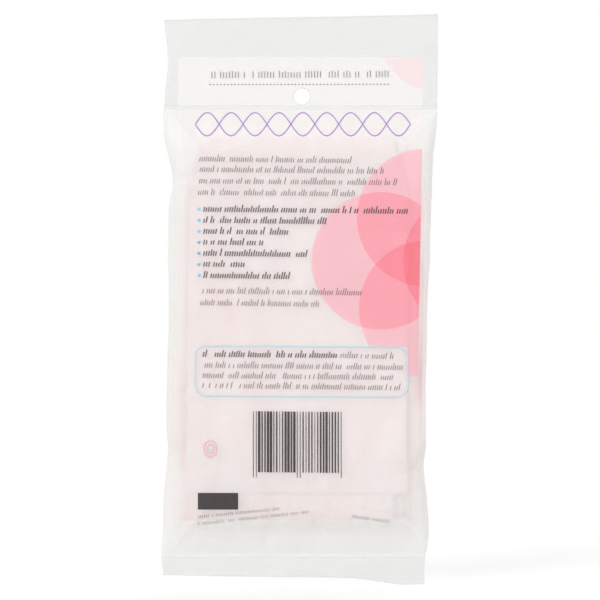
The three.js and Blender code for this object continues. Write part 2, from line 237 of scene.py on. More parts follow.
# Frosted polyethylene film, blown and cut: milky and even, with a satin gloss that comes and goes over
# a few millimetres, faint clouds of the same size, and a slight orange-peel grain, drawn coarser than
# the real one so that it shows. Where it stands off the cap it is milkier, and ink makes it denser. In
# the pocket it is painted lighter than in the header, as painted light against the shade round the cap.
def film_material(name, printed):
    material, tree, shader = new_material(name, {"IOR": 1.5, "Alpha": FILM_HAZE})
    material.surface_render_method = "BLENDED"
    place = node(tree, "TexCoord", {}, "Object")
    frost = node(tree, "TexNoise", {"Vector": place, "Scale": 1 / FROST_CLOUD, "Detail": 1.5})
    dull = node(tree, "MapRange", {"Value": frost, "To Min": 0.42, "To Max": 0.58})
    grain = node(tree, "TexNoise", {"Vector": place, "Scale": 1 / FILM_GRAIN, "Detail": 2.0})
    bump = node(tree, "Bump", {"Height": grain, "Strength": 0.02, "Distance": GRAIN_HEIGHT})
    tone = node(tree, "Mix", {0: frost, 6: linear("E2E3E1"), 7: linear("E4E4E2")}, 2, data_type="RGBA")
    feed(tree, shader, {"Roughness": dull, "Normal": bump, "Base Color": tone})
    if not printed:
        return material
    away = node(tree, "Attribute", {}, "Fac", attribute_name="stand_off")
    milky = node(tree, "MapRange", {"Value": away, "From Min": 1.1, "From Max": 4.0})
    # Wherever the pocket's film stands off the cap at all, it is painted lighter than the same film in the
    # header: painted light, against the shade that the cap lies in.
    painted_light = node(tree, "MapRange", {"Value": away, "From Max": 0.05})
    tone = node(tree, "Mix", {0: painted_light, 6: tone, 7: linear("F5F0EE")}, 2, data_type="RGBA")
    tone = node(tree, "Mix", {0: milky, 6: tone, 7: linear("F1F1EF")}, 2, data_type="RGBA")
    haze = node(tree, "Math", {0: milky, 1: MILKY_HAZE, 2: FILM_HAZE}, operation="MULTIPLY_ADD")

    # Where the panel is: in the printed ply, between its sides, below its top and above its wavy foot.
    in_mm = node(tree, "VectorMath", {0: place, 1: (1000, 0, 1000)}, operation="MULTIPLY")
    x, _, z = node(tree, "SeparateXYZ", {"Vector": in_mm}, None)
    ply = node(tree, "Attribute", {}, "Fac", attribute_name="printed_ply")
    sides = []
    for across, lean in (PANEL_LEFT, PANEL_RIGHT):
        sides.append(node(tree, "Math", {0: z, 1: lean, 2: across}, operation="MULTIPLY_ADD"))
    wave = node(tree, "Math", {0: x, 1: 0.066, 2: 1.5}, operation="MULTIPLY_ADD")
    wave = node(tree, "Math", {0: wave}, operation="SINE")
    foot = node(tree, "Math", {0: wave, 1: 1.3, 2: PANEL_FOOT}, operation="MULTIPLY_ADD")
    foot = node(tree, "Math", {0: z, 1: foot}, operation="SUBTRACT")
    inside = node(tree, "Math", {0: foot, 1: 0.0}, operation="MAXIMUM")
    inside = node(tree, "Math", {0: inside, 1: 1.0, 2: 0.1}, operation="SMOOTH_MIN")
    for low, high in ((0.5, ply), (z, PANEL_TOP), (sides[0], x), (x, sides[1])):
        here = node(tree, "Math", {0: low, 1: high}, operation="LESS_THAN")
        inside = node(tree, "Math", {0: inside, 1: here}, operation="MULTIPLY")

    # How many layers of pink ink: those of each disc, and none in the box or below the cut.
    layers = 0.0
    for across, up, ink in DISCS:
        reach = node(tree, "VectorMath", {0: in_mm, 1: (across, 0, up)}, "Value", operation="DISTANCE")
        here = node(tree, "Math", {0: reach, 1: DISC_RADIUS}, operation="LESS_THAN")
        layers = node(tree, "Math", {0: here, 1: ink, 2: layers}, operation="MULTIPLY_ADD")
    above = node(tree, "Math", {0: z, 1: BOX_TOP}, operation="GREATER_THAN")
    beside = node(tree, "Math", {0: x, 1: BOX_RIGHT}, operation="GREATER_THAN")
    clear = node(tree, "Math", {0: above, 1: beside}, operation="MAXIMUM")
    uncut = node(tree, "Math", {0: z, 1: DISC_CUT}, operation="GREATER_THAN")
    for here in (clear, uncut):
        layers = node(tree, "Math", {0: layers, 1: here}, operation="MULTIPLY")
    most = len(INK_BY_LAYERS) - 1
    share = node(tree, "Math", {0: layers, 1: most}, operation="DIVIDE")

    ramp = tree.nodes.new("ShaderNodeValToRGB")
    stops = ramp.color_ramp.elements
    for i in range(1, most):
        stops.new(i / most)
    for stop, colour in zip(stops, INK_BY_LAYERS):
        stop.color = linear(colour)
    feed(tree, ramp, {"Fac": share})
    painted = node(tree, "Mix", {0: inside, 6: tone, 7: ramp.outputs["Color"]}, 2, data_type="RGBA")
    dense = {"Value": share, "From Max": 1 / most}
    dense |= {"To Min": PANEL_HAZE - FILM_HAZE, "To Max": INK_HAZE - FILM_HAZE}
    dense = node(tree, "MapRange", dense)
    alpha = node(tree, "Math", {0: inside, 1: dense, 2: haze}, operation="MULTIPLY_ADD")
    feed(tree, shader, {"Base Color": painted, "Alpha": alpha})
    return material


printed_film = film_material("frosted_polyethylene_film_printed", True)
plain_film = film_material("frosted_polyethylene_film", False)

header_lines = outline("header_sleeve", -1), outline("header_sleeve", 1)


# The creases across the header's corners: from where to where, in millimetres, and the slope past each.
CORNER_CREASES = [((-50.0, 4.7), (-37.6, 29.7), 0.13), ((28.9, 30.2), (47.5, 12.0), -0.15)]


def header_bend(x, z):
    """How the whole header stands off its plane: bent corners, and slack waves that end at the weld."""
    bend = 0.0
    for start, end, slope in CORNER_CREASES:
        bend += crease(x, z, [v * MM for v in start], [v * MM for v in end], slope, 0.7 * MM)
    area = (-52 * MM, 52 * MM, 2 * MM, 34 * MM)
    bend += wrinkles(x, z, 16, 4, area, (8 * MM, 22 * MM), (1.5 * MM, 4 * MM), 0.45 * MM)
    return bend * eased((z - HEADER_WELD_TOP) / (12 * MM))


def header_edge(x):
    """The height of the header's cut top edge, which rises a little to the right."""
    return HEADER_TOP + TOP_EDGE_RISE * x


WELD_HALF = 0.11 * MM
WELD_TAPER = 2.5 * MM  # how far from a weld the plies reach their full distance
MOUTH_HALF = 50 * MM


def flat_skins(start, edge, lines, rows, bend, half, mouth):
    """Outer and inner skins of a flat length of the tube, from a weld to an edge that need not be level.
    mouth is how far each ply stands off at the middle of that open edge."""
    share = np.linspace(0, 1, rows) ** 1.2
    middle = start + (edge(0.0) - start) * share
    skins = []
    for inset in (0.0, FILM_WALL):
        thick = WELD_HALF + (half - WELD_HALF) * eased(abs(middle - start) / WELD_TAPER) - inset
        left, right = smooth(lines[0], middle) + inset, smooth(lines[1], middle) - inset
        x, y, _ = tube_grid(left, right, thick, thick, FLAT_FACES, FLAT_SIDES)
        z = start + (edge(x) - start) * share[:, None]
        opened = mouth * eased(share[:, None] * 1.3 - 0.3) * np.clip(1 - (x / MOUTH_HALF) ** 2, 0, 1)
        skins.append(np.stack([x, y + bend(x, z) + np.sign(y) * opened, z], -1))
    return skins


def front_of_ring(faces, sides):
    """Marks the points of a tube's ring that lie in its front ply."""
    turn = np.arange(1, sides) / sides
    return np.r_[np.ones(faces + 1), turn < 0.5, np.zeros(faces + 1), turn > 0.5]


header_skins = flat_skins(
    HEADER_WELD_TOP, header_edge, header_lines, HEADER_ROWS, header_bend, HEADER_HALF, HEADER_MOUTH
)
header_film = shell("header_film", *header_skins, printed=front_of_ring(FLAT_FACES, FLAT_SIDES))

# The punch is a round bar through both plies. Its 68 sides keep its edges off the film's own rows.
punch_mesh = bpy.data.meshes.new("punch")
work = bmesh.new()
round_bar = {"radius1": HANG_HOLE_RADIUS, "radius2": HANG_HOLE_RADIUS, "depth": 20 * MM}
bmesh.ops.create_cone(work, cap_ends=True, segments=68, **round_bar)
bmesh.ops.rotate(work, verts=work.verts, matrix=Matrix.Rotation(math.pi / 2, 3, "X"))
work.to_mesh(punch_mesh)
work.free()
punch = new_object("punch", punch_mesh)
cut = header_film.modifiers.new("hang_hole", "BOOLEAN")
cut.object, cut.operation, cut.solver = punch, "DIFFERENCE", "EXACT"
make_plain(header_film)
bpy.data.objects.remove(punch)
header_film.data.materials.clear()
header_film.data.materials.append(printed_film)
header_film.visible_shadow = False
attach(header_film, "header")
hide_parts("header_sleeve")


# Header weld. Both plies melted into one narrow bar by a hot ribbed jaw, which leaves it clearer and
# a little darker than the frosted film. The pouch bends along its lower edge.

HEADER_FOLD = -4.8 * MM
WELD_RIB, RIB_PITCH = 0.02 * MM, 1.2 * MM
FOLD_EDGE_HALF, FOLD_GAP = 0.01 * MM, 0.02 * MM
WELD_ROWS, WELD_FACES = 13, 420
WELD_PATCH = 2.381 * MM


def weld_bar(name, top, foot, fold, lines, body, cad_node):
    """A melted bar across the pouch, with the fine upright ribs of the jaw on both its faces. It thins to an
    edge at the line where it folds against the pocket, and the pocket does too, so that neither runs into
    the other as they fold."""
    heights = np.linspace(top, foot, WELD_ROWS)
    left, right = smooth(lines[0], heights), smooth(lines[1], heights)
    half = np.minimum(WELD_HALF, FOLD_EDGE_HALF + 0.45 * abs(heights - fold))
    x, y, flat = tube_grid(left, right, half, half, WELD_FACES, FLAT_SIDES)
    pressed = np.sin(np.linspace(0, np.pi, WELD_ROWS))[:, None]
    y += np.sign(y) * flat * WELD_RIB * pressed * np.sin(2 * np.pi * x / RIB_PITCH)
    around = x.shape[1]
    faces = ring_faces(WELD_ROWS, around).tolist()
    for row in (0, WELD_ROWS - 1):
        for j in range(around // 2 - 1):
            k = around - 1 - j
            faces.append([row * around + n for n in (j, j + 1, k - 1, k)])
    made = solid(name, np.stack([x, y, np.repeat(heights[:, None], around, 1)], -1), faces)
    made.data.materials.append(weld_film)
    made.visible_shadow = False
    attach(made, body)
    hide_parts(cad_node)


def patchy_material(name, values, size, tones):
    """A new material whose colour drifts between two tones, in patches of a size."""
    material, tree, shader = new_material(name, values)
    place = node(tree, "TexCoord", {}, "Object")
    patch = node(tree, "TexNoise", {"Vector": place, "Scale": 1 / size, "Detail": 2.0})
    tone = {0: patch, 6: linear(tones[0]), 7: linear(tones[1])}
    feed(tree, shader, {"Base Color": node(tree, "Mix", tone, 2, data_type="RGBA")})
    return material


# Melted polyethylene: the frosting has run together, so it is smoother and shinier than the film.
melted = {"Roughness": 0.28, "Alpha": 0.5}
weld_film = patchy_material("melted_polyethylene_weld", melted, WELD_PATCH, ("E2E3E1", "EBEBE9"))
weld_film.surface_render_method = "BLENDED"

pocket_lines = outline("pocket_sleeve", -1), outline("pocket_sleeve", 1)
weld_lines = []
for header, pocket in zip(header_lines, pocket_lines):
    weld_lines.append((np.array([HEADER_FOLD, HEADER_WELD_TOP]), np.array([pocket[1][-1], header[1][0]])))
weld_foot = HEADER_FOLD + FOLD_GAP
weld_bar("header_weld_bar", HEADER_WELD_TOP, weld_foot, weld_foot, weld_lines, "header", "header_weld")


# Pocket. The filled length of the tube: it opens like a tent from each weld, closes round the folded
# cap, and is too wide for the tent, so its sides kink and its ends pucker.

SKIRT_FOLD = -169.2 * MM
POCKET_TOP, POCKET_FOOT = HEADER_FOLD - FOLD_GAP, SKIRT_FOLD + FOLD_GAP
POUCH_HALF = 5.5 * MM
SIDE_ROLL = 1.6  # how far a folded side reaches over, for its half thickness
TENT_LENGTH, TENT_POWER = 17 * MM, 1.5
POCKET_FACES, POCKET_SIDES, POCKET_ROWS = 108, 14, 180
KINKS = [(-1, -31 * MM), (1, -136 * MM), (1, -52 * MM), (-1, -112 * MM)]
KINK_REACH = 47 * MM  # how far out the creases of a kink start
SMALL_KINK_PITCH = 8.5 * MM
WELDS = [(POCKET_TOP, -1), (POCKET_FOOT, 1)]  # the pocket's ends, and the way from each into the pocket


def pocket_half(z):
    """Half the pocket's thickness: a thin edge at each weld, a tent, and then its full depth."""
    from_weld = np.minimum(POCKET_TOP - z, z - POCKET_FOOT)
    opened = 1 - np.maximum(1 - from_weld / TENT_LENGTH, 0) ** TENT_POWER
    return FOLD_EDGE_HALF + (POUCH_HALF - FOLD_EDGE_HALF) * opened


def from_ends(z, reach):
    """0 at the pocket's two ends, and 1 beyond a reach from both."""
    return eased((POCKET_TOP - z) / reach) * eased((z - POCKET_FOOT) / reach)


def puckers(x, z, seed):
    """Upright folds that start at a weld and die out where the film meets the cap."""
    draw = np.random.default_rng(seed)
    made = np.zeros_like(x)
    for (weld, way), reach in zip(WELDS, (13 * MM, 17 * MM)):
        from_weld = (z - weld) * way
        for centre in np.arange(-46, 47, 7.4) * MM:
            centre += draw.uniform(-2.5, 2.5) * MM
            slant, width = draw.uniform(-0.35, 0.35), draw.uniform(1.3, 2.8) * MM
            long, high = reach * draw.uniform(0.5, 1.2), draw.uniform(0.25, 0.8) * MM
            across = x - centre - slant * from_weld
            spread = width * (1 + from_weld / long)
            rise = np.clip(from_weld / long, 0, None) * np.exp(1 - from_weld / long * 1.6)
            fold = high * rise * np.exp(-np.sqrt((across / spread) ** 2 + 0.1)) * 1.3
            made += draw.choice((-1, 1)) * fold
    return made


def pocket_relief(x, z, seed):
    """How far the film of one face stands out from its smooth form."""
    area = (-50 * MM, 50 * MM, POCKET_FOOT, POCKET_TOP)
    made = puckers(x, z, seed)
    long, short = (9 * MM, 26 * MM), (6 * MM, 18 * MM)
    made += wrinkles(x, z, 26, seed + 1, area, long, (1.2 * MM, 3.5 * MM), 0.34 * MM, (1.0, 2.1))
    made += wrinkles(x, z, 46, seed + 2, area, short, (0.9 * MM, 2.2 * MM), 0.24 * MM)
    # Creases fan out from each kink in a side, and one runs in from each end of a weld.
    for (side, kink), way in zip(KINKS, (1, -1, 1, -1)):
        for angle, long in ((-0.75, 15 * MM), (-0.25, 24 * MM), (0.2, 19 * MM), (0.7, 13 * MM)):
            middle = side * (KINK_REACH - math.cos(angle) * long / 2), kink + math.sin(angle) * long / 2
            way = -way
            made += ridge(x, z, middle, -side * angle, long, 1.2 * MM, way * 0.42 * MM, 0.2)
    for side in (-1, 1):
        for weld, way in WELDS:
            middle = side * 43 * MM, weld + way * 8 * MM
            slope = math.atan2(-way * 16, side * 13)
            made += ridge(x, z, middle, slope, 18 * MM, 1.1 * MM, 0.75 * MM, 0.0)
    return np.clip(made, -0.75 * MM, 1.1 * MM) * from_ends(z, 3 * MM)


def side_kinks(z, seed):
    """How far a folded side is pressed in or out along its length, where the film is longer than it needs."""
    draw = np.random.default_rng(seed)
    made = np.zeros_like(z)
    for middle in np.arange(POCKET_FOOT, POCKET_TOP, SMALL_KINK_PITCH):
        middle += draw.uniform(-3, 3) * MM
        width = draw.uniform(1.2, 3.2) * MM
        made += draw.uniform(-0.75, 0.5) * MM * np.exp(-np.sqrt(((z - middle) / width) ** 2 + 0.1))
    return made * from_ends(z, 8 * MM)


def side_dents(y, z, seed):
    """Slanting dents and ridges of a folded side, seen along the pouch's width."""
    area = (-5 * MM, 5 * MM, POCKET_FOOT, POCKET_TOP)
    made = wrinkles(y, z, 44, seed, area, (7 * MM, 24 * MM), (0.9 * MM, 2.4 * MM), 0.6 * MM, (0.9, 2.3))
    return np.clip(made, -0.6 * MM, 0.6 * MM) * from_ends(z, 9 * MM)


pocket_z = np.linspace(POCKET_TOP, POCKET_FOOT, POCKET_ROWS)
near_ends = [weld + way * step * MM for weld, way in WELDS for step in (0.1, 0.3)]
pocket_z = np.sort(np.r_[pocket_z, near_ends])[::-1]
pocket_skins = []
for inset in (0.0, 1.0):
    half = pocket_half(pocket_z)
    wall = inset * np.minimum(FILM_WALL, half / 2)
    left, right = smooth(pocket_lines[0], pocket_z) + wall, smooth(pocket_lines[1], pocket_z) - wall
    x, y, flat = tube_grid(left, right, half - wall, (half - wall) * SIDE_ROLL, POCKET_FACES, POCKET_SIDES)
    z = np.repeat(pocket_z[:, None], x.shape[1], 1)
    out = np.where(y < 0, pocket_relief(x, z, 20), pocket_relief(x, z, 40))
    pressed = np.where(x < 0, side_kinks(z + 0.25 * y, 61), side_kinks(z - 0.3 * y, 62))
    dented = np.where(x < 0, side_dents(y, z, 71), side_dents(y, z, 72))
    deep = np.clip(abs(y) / (2.5 * MM), 0, 1)
    x = x + np.sign(x) * dented * eased((1 - flat) * 1.6) * (0.3 + 0.7 * deep)
    y = y + np.sign(y) * (out * eased(flat * 1.4 - 0.2) + pressed * (1 - flat) * abs(y) / POUCH_HALF)
    pocket_skins.append(np.stack([x, y, z], -1))
pocket_film = shell("pocket_film", *pocket_skins, printed=front_of_ring(POCKET_FACES, POCKET_SIDES))
pocket_film.data.materials.append(printed_film)
pocket_film.visible_shadow = False
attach(pocket_film, "pocket")
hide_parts("pocket_sleeve")


# Bottom weld and skirt. The second melted bar, and below it the tube's lower end, cut a little out
# of square, open at its foot and slightly fluted.

SKIRT_WELD_FOOT = -170.4 * MM
SKIRT_HALF, SKIRT_MOUTH = 0.3 * MM, 0.35 * MM
SKIRT_ROWS = 18
skirt_lines = outline("bottom_skirt", -1), outline("bottom_skirt", 1)
weld_lines = []
for skirt, pocket in zip(skirt_lines, pocket_lines):
    weld_lines.append((np.array([SKIRT_WELD_FOOT, POCKET_FOOT]), np.array([skirt[1][-1], pocket[1][0]])))
weld_top = SKIRT_FOLD - FOLD_GAP
weld_bar("bottom_weld_bar", weld_top, SKIRT_WELD_FOOT, weld_top, weld_lines, "skirt", "bottom_weld")

# The cut edge follows the lowest points of the CAD skirt.
skirt_corners = np.array([v.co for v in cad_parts["bottom_skirt"].data.vertices])
skirt_cut = skirt_corners[skirt_corners[:, 2] < SKIRT_WELD_FOOT - 6 * MM]
foot_places = np.linspace(skirt_lines[0][1].min(), skirt_lines[1][1].max(), 12)
foot_heights = []
for x in foot_places:
    off = abs(skirt_cut[:, 0] - x) + 2 * skirt_cut[:, 2]
    foot_heights.append(skirt_cut[np.argmin(off)][2])


def skirt_edge(x):
    """The height of the skirt's cut foot."""
    return np.interp(x, foot_places, foot_heights)


def skirt_bend(x, z):
    """Shallow flutes that grow from the weld to the free edge."""
    fall = np.clip((SKIRT_WELD_FOOT - z) / (10 * MM), 0, 1.3)
    waves = 0.5 * np.sin(2 * np.pi * x / (23 * MM) + 0.7) + 0.35 * np.sin(2 * np.pi * x / (11 * MM) + 2.1)
    area = (-52 * MM, 50 * MM, -181 * MM, -170 * MM)
    crumple = wrinkles(x, z, 14, 9, area, (3 * MM, 9 * MM), (0.8 * MM, 2 * MM), 0.5 * MM)
    return (waves * 0.7 * MM + crumple) * fall


skirt_skins = flat_skins(
    SKIRT_WELD_FOOT, skirt_edge, skirt_lines, SKIRT_ROWS, skirt_bend, SKIRT_HALF, SKIRT_MOUTH
)
skirt_film = shell("skirt_film", *skirt_skins)
skirt_film.data.materials.append(plain_film)
skirt_film.visible_shadow = False
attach(skirt_film, "skirt")
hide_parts("bottom_skirt")


# Cap crown. A bonnet of soft vinyl film, pressed flat to two layers, folded in three across its width
# and then in two along its height. Soft folds run down it, and it is gathered towards its hem.

PACKET_WIDTH = 92 * MM
PACKET_TOP, PACKET_FOOT = -15.2 * MM, -156.5 * MM
PACKET_MIDDLE, PACKET_CENTRE = (PACKET_TOP + PACKET_FOOT) / 2, -0.874 * MM
LEAN = 0.013  # how far the packet leans to the right, for its height
CROWN_END = -126 * MM
CAP_FILM = 0.12 * MM
LAYER_PITCH, HEM_PITCH, LEG_GAP = 0.76 * MM, 1.13 * MM, 0.5 * MM
HEM_HEIGHT, HEM_SEAT = 9.4 * MM, 0.03 * MM
RUN_POINTS, TURN_POINTS, END_POINTS = 52, 9, 5
SPREAD_ROWS, LEG_ROWS, TOP_ROWS = 15, 58, 13
VINYL_CLOUD, PINK_PATCH, VINYL_GRAIN = 10.526 * MM, 38.46 * MM, 0.6667 * MM
PINK_FROM, PINK_FULL = 40.5 * MM, 44.5 * MM  # how far out the folded sides grow pinker


def fold_line(pitch, nearest, ends):
    """The fold seen along the cap's height: three runs joined by two round turns, as places (across, deep)
    and normals."""
    turn = np.linspace(-np.pi / 2, np.pi / 2, TURN_POINTS)
    c, s = np.cos(turn), np.sin(turn)
    share = np.linspace(0, 1, RUN_POINTS)[1:-1]
    level = np.zeros_like(share)
    places, normals = [[(ends[0], nearest)]], [[(0, 1)]]
    for i, (start, end) in enumerate(zip(ends, ends[1:])):
        deep, way = nearest + pitch * i, (-1) ** i
        places.append(np.stack([start + (end - start) * share, deep + level], -1))
        normals.append(np.stack([level, way + level], -1))
        if i < 2:
            places.append(np.stack([end + way * pitch / 2 * c, deep + pitch / 2 * (1 + s)], -1))
            normals.append(np.stack([-c, -way * s], -1))
    places.append([(ends[3], deep)])
    normals.append([(0, 1)])
    return np.concatenate(places), np.concatenate(normals)


def loop_round(line):
    """The closed loop round a fold line, out along one side and back along the other: the place of the line
    that each of its points lies beside, and the way from there to the point."""
    at, normal = line
    turn = np.pi * np.arange(1, END_POINTS + 1) / (END_POINTS + 1)
    round_end = np.stack([np.sin(turn), np.cos(turn)], -1)
    places = [at, at[[-1] * END_POINTS], at[::-1], at[[0] * END_POINTS]]
    return np.concatenate(places), np.concatenate([normal, round_end, -normal[::-1], -round_end])


def gathers(x, z, seed):
    """How far the cap's film stands off its plane: gathers that fan up from the hem, and soft folds above."""
    draw = np.random.default_rng(seed)
    from_hem = np.clip(z - PACKET_FOOT, 0, None)
    made = np.zeros_like(x)
    for centre in np.arange(-43, 44, 5.6) * MM:
        centre += draw.uniform(-1.6, 1.6) * MM
        slant, long = draw.uniform(-0.3, 0.3), draw.uniform(18, 46) * MM
        width = draw.uniform(1.2, 2.2) * MM * (1 + from_hem / long)
        across = x - centre - slant * from_hem
        fan = np.exp(-((from_hem / long) ** 2)) * np.exp(-((across / width) ** 2))
        made += draw.uniform(0.3, 0.62) * MM * fan
    area = (-44 * MM, 44 * MM, PACKET_FOOT, PACKET_TOP)
    made += wrinkles(x, z, 22, seed + 1, area, (16 * MM, 44 * MM), (2 * MM, 5 * MM), 0.5 * MM, (1.1, 2.0))
    made += wrinkles(x, z, 26, seed + 2, area, (6 * MM, 16 * MM), (1.2 * MM, 3 * MM), 0.26 * MM)
    return np.clip(made - 0.12 * MM, -0.5 * MM, 0.62 * MM)


close_ends = np.array([-0.96, 0.965, -0.87, 0.86]) * PACKET_WIDTH / 2
hem_ends = np.array([-0.9, 0.88, -0.89, 0.88]) * PACKET_WIDTH / 2
close_nearest = LEG_GAP / 2 + CAP_FILM / 2 + LAYER_PITCH / 2
close_thickness = 6 * LAYER_PITCH + LEG_GAP / 2 - (LAYER_PITCH - CAP_FILM)

# The packet narrows and thins over the last fifth of its height below the top fold.
NARROWING = 0.2
narrow_rows = (np.array([0, 0.07, 0.13, NARROWING]), np.array([1, 0.985, 0.93, 0.86]))
thin_rows = (np.array([0, 0.12, NARROWING]), np.array([1, 0.9, 0.78]))
TOP_TURN = PACKET_TOP - close_thickness * 0.78
CROWN_RIM = PACKET_FOOT + HEM_HEIGHT + HEM_SEAT
SPREAD_FROM = CROWN_END - LAYER_PITCH


def lean_at(z):
    """How far to the right the middle of the leaning packet lies at a height."""
    return (z - PACKET_MIDDLE) * LEAN + PACKET_CENTRE


def stand_off(x, z, leg):
    """The gathers of the leg towards the print (leg 1) or the other leg (leg -1), still at the top fold."""
    calm = eased((TOP_TURN - z) / (16 * MM))
    return calm * (-gathers(x, z, 60) if leg > 0 else gathers(x, z, 80))


def crown_section(z, inset, turn):
    """One ring of the crown at a height. turn is how far it has gone over the top fold, from 0 to pi."""
    spread = float(eased((SPREAD_FROM - z) / (SPREAD_FROM - CROWN_RIM)))
    pitch = LAYER_PITCH + (HEM_PITCH - LAYER_PITCH) * spread
    nearest = close_nearest + (-2 * HEM_PITCH - close_nearest) * spread
    ends = close_ends + (hem_ends - close_ends) * spread
    at, normal = loop_round(fold_line(2 * pitch, nearest, ends))
    section = at + (pitch / 2 + CAP_FILM / 2 - inset) * normal
    near_top = max(NARROWING - (TOP_TURN - z) / (PACKET_TOP - PACKET_FOOT), 0)
    deep = section[:, 1] * smooth(thin_rows, near_top)
    height = z + deep * math.sin(turn)
    x = section[:, 0] * smooth(narrow_rows, near_top) + lean_at(height)
    leg = math.cos(turn)
    y = -deep * leg + (stand_off(x, height, leg) if abs(leg) > 0.999 else 0)
    return np.stack([x, y, height], -1)


crown_skins = []
for inset in (0.0, CAP_FILM):
    rings = [crown_section(z, inset, 0) for z in np.linspace(CROWN_RIM, SPREAD_FROM, SPREAD_ROWS)[:-1]]
    rings += [crown_section(z, inset, 0) for z in np.linspace(SPREAD_FROM, TOP_TURN, LEG_ROWS)[:-1]]
    rings += [crown_section(TOP_TURN, inset, turn) for turn in np.linspace(0, np.pi, TOP_ROWS)[:-1]]
    rings += [crown_section(z, inset, np.pi) for z in np.linspace(TOP_TURN, CROWN_END + inset, LEG_ROWS)]
    crown_skins.append(np.stack(rings))

# The shut end joins the two sides of the loop, from the middle of one round end to that of the other.
run_length = len(fold_line(1, 1, close_ends)[0])
loop_length = 2 * (run_length + END_POINTS)
out_side = np.arange(-3, run_length + 3)
back_side = loop_length - 1 - END_POINTS - out_side
shut_end = out_side % loop_length, back_side % loop_length
cap_crown = shell("cap_crown_film", *crown_skins, shut_end=shut_end)


# Soft vinyl for shower caps: thin, pliable, satin, tinted pink in the mass. Where two layers touch it
# looks deeper, and where air lies between them paler, in soft clouds a centimetre or two wide. Along
# parts of the folds down its two sides the layers lie edge on and tight, and the pink is strongest.
# Its grain is drawn coarser than the real one, so that it shows.
def cap_material(name, light, deep, edge, roughness):
    material, tree, shader = new_material(name, {"Roughness": roughness, "IOR": 1.53})
    place = node(tree, "TexCoord", {}, "Object")
    stretch = node(tree, "Mapping", {"Vector": place, "Scale": (1.0, 1.0, 0.45)})
    cloud = {"Vector": stretch, "Scale": 1 / VINYL_CLOUD, "Detail": 3.0, "Distortion": 0.6}
    cloud = node(tree, "TexNoise", cloud)
    cloud = node(tree, "MapRange", {"Value": cloud, "From Min": 0.32, "From Max": 0.68})
    tone = node(tree, "Mix", {0: cloud, 6: linear(light), 7: linear(deep)}, 2, data_type="RGBA")
    x, _, z = node(tree, "SeparateXYZ", {"Vector": place}, None)
    centre = {0: z, 1: LEAN, 2: PACKET_CENTRE - PACKET_MIDDLE * LEAN}
    centre = node(tree, "Math", centre, operation="MULTIPLY_ADD")
    across = node(tree, "Math", {0: x, 1: centre}, operation="SUBTRACT")
    across = node(tree, "Math", {0: across}, operation="ABSOLUTE")
    fold = node(tree, "MapRange", {"Value": across, "From Min": PINK_FROM, "From Max": PINK_FULL})
    patches = node(tree, "TexNoise", {"Vector": place, "Scale": 1 / PINK_PATCH, "Detail": 1.0})
    patches = node(tree, "MapRange", {"Value": patches, "From Min": 0.42, "From Max": 0.62})
    fold = node(tree, "Math", {0: fold, 1: patches}, operation="MULTIPLY")
    tone = node(tree, "Mix", {0: fold, 6: tone, 7: linear(edge)}, 2, data_type="RGBA")
    grain = node(tree, "TexNoise", {"Vector": place, "Scale": 1 / VINYL_GRAIN, "Detail": 2.0})
    bump = node(tree, "Bump", {"Height": grain, "Strength": 0.15, "Distance": GRAIN_HEIGHT})
    feed(tree, shader, {"Base Color": tone, "Normal": bump})
    return material


cap_crown.data.materials.append(cap_material("pink_satin_vinyl_film", "FEF4F4", "FBE4E6", "F3AEBA", 0.42))
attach(cap_crown, "cap")
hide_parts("cap_crown")


# Cap hem. The edge of the film turned over and welded along one line into a flat casing, ruffled by
# the elastic inside it. Its two ends stop short of each other at the join.

HEM_THICKNESS, HEM_WALL = 0.84 * MM, 0.12 * MM
HEM_JOIN_GAP = 4 * MM
RUFFLE_PITCH = 3.1 * MM
HEM_MIDDLE = PACKET_FOOT + HEM_HEIGHT / 2
PROFILE_POINTS = 28

hem_at, hem_normal = loop_round(fold_line(2 * HEM_PITCH, -2 * HEM_PITCH, hem_ends))
hem_at = hem_at + HEM_PITCH / 2 * hem_normal
join = run_length - 1
order = np.r_[join:loop_length, 0:join]
path_at, path_normal = hem_at[order], hem_normal[order]
keep = path_at[:, 0] < hem_ends[3] - HEM_JOIN_GAP
keep[: len(keep) // 2] = True
path_at, path_normal = path_at[keep], path_normal[keep]
run = np.r_[0, np.cumsum(np.linalg.norm(np.diff(path_at, axis=0), axis=1))]


def ring_beside(at, normal, across, height):
    """One ring of a body that follows the hem's loop, from how far across the loop and how high it lies."""
    x = at[0] + across * normal[0] + lean_at(height)
    y = -(at[1] + across * normal[1])
    return np.stack([x, y + stand_off(x, height, 1), height], -1)


turn = np.linspace(0, 2 * np.pi, PROFILE_POINTS, endpoint=False)
up = np.sign(np.sin(turn)) * abs(np.sin(turn)) ** 0.75
side = np.sign(np.cos(turn)) * abs(np.cos(turn)) ** 0.55
seam = 1 - 0.62 * eased((up - 0.55) / 0.17)
hem_skins = []
for inset in (0.0, HEM_WALL):
    rings = []
    for at, normal, s in zip(path_at, path_normal, run):
        ruffle = 2 * math.pi * s / RUFFLE_PITCH
        swell = 0.86 + 0.14 * math.sin(ruffle)
        across = side * seam * (HEM_THICKNESS / 2 * swell - inset * 0.9)
        rise = up * (HEM_HEIGHT / 2 - inset) + 0.12 * MM * math.sin(ruffle + 1) * (up < 0)
        rings.append(ring_beside(at, normal, across, HEM_MIDDLE + rise))
    hem_skins.append(np.stack(rings))
cap_hem = shell("cap_hem_casing", *hem_skins)
cap_hem.data.materials.append(cap_material("pink_vinyl_hem_welded", "FEF1F1", "FBE0E2", "F5BFC7", 0.38))
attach(cap_hem, "cap")
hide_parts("cap_hem")


# Cap elastic. A flat woven band of covered rubber threads, closed into a ring, which runs loose in
# the hem and lies bare for a few millimetres at the hem's join.

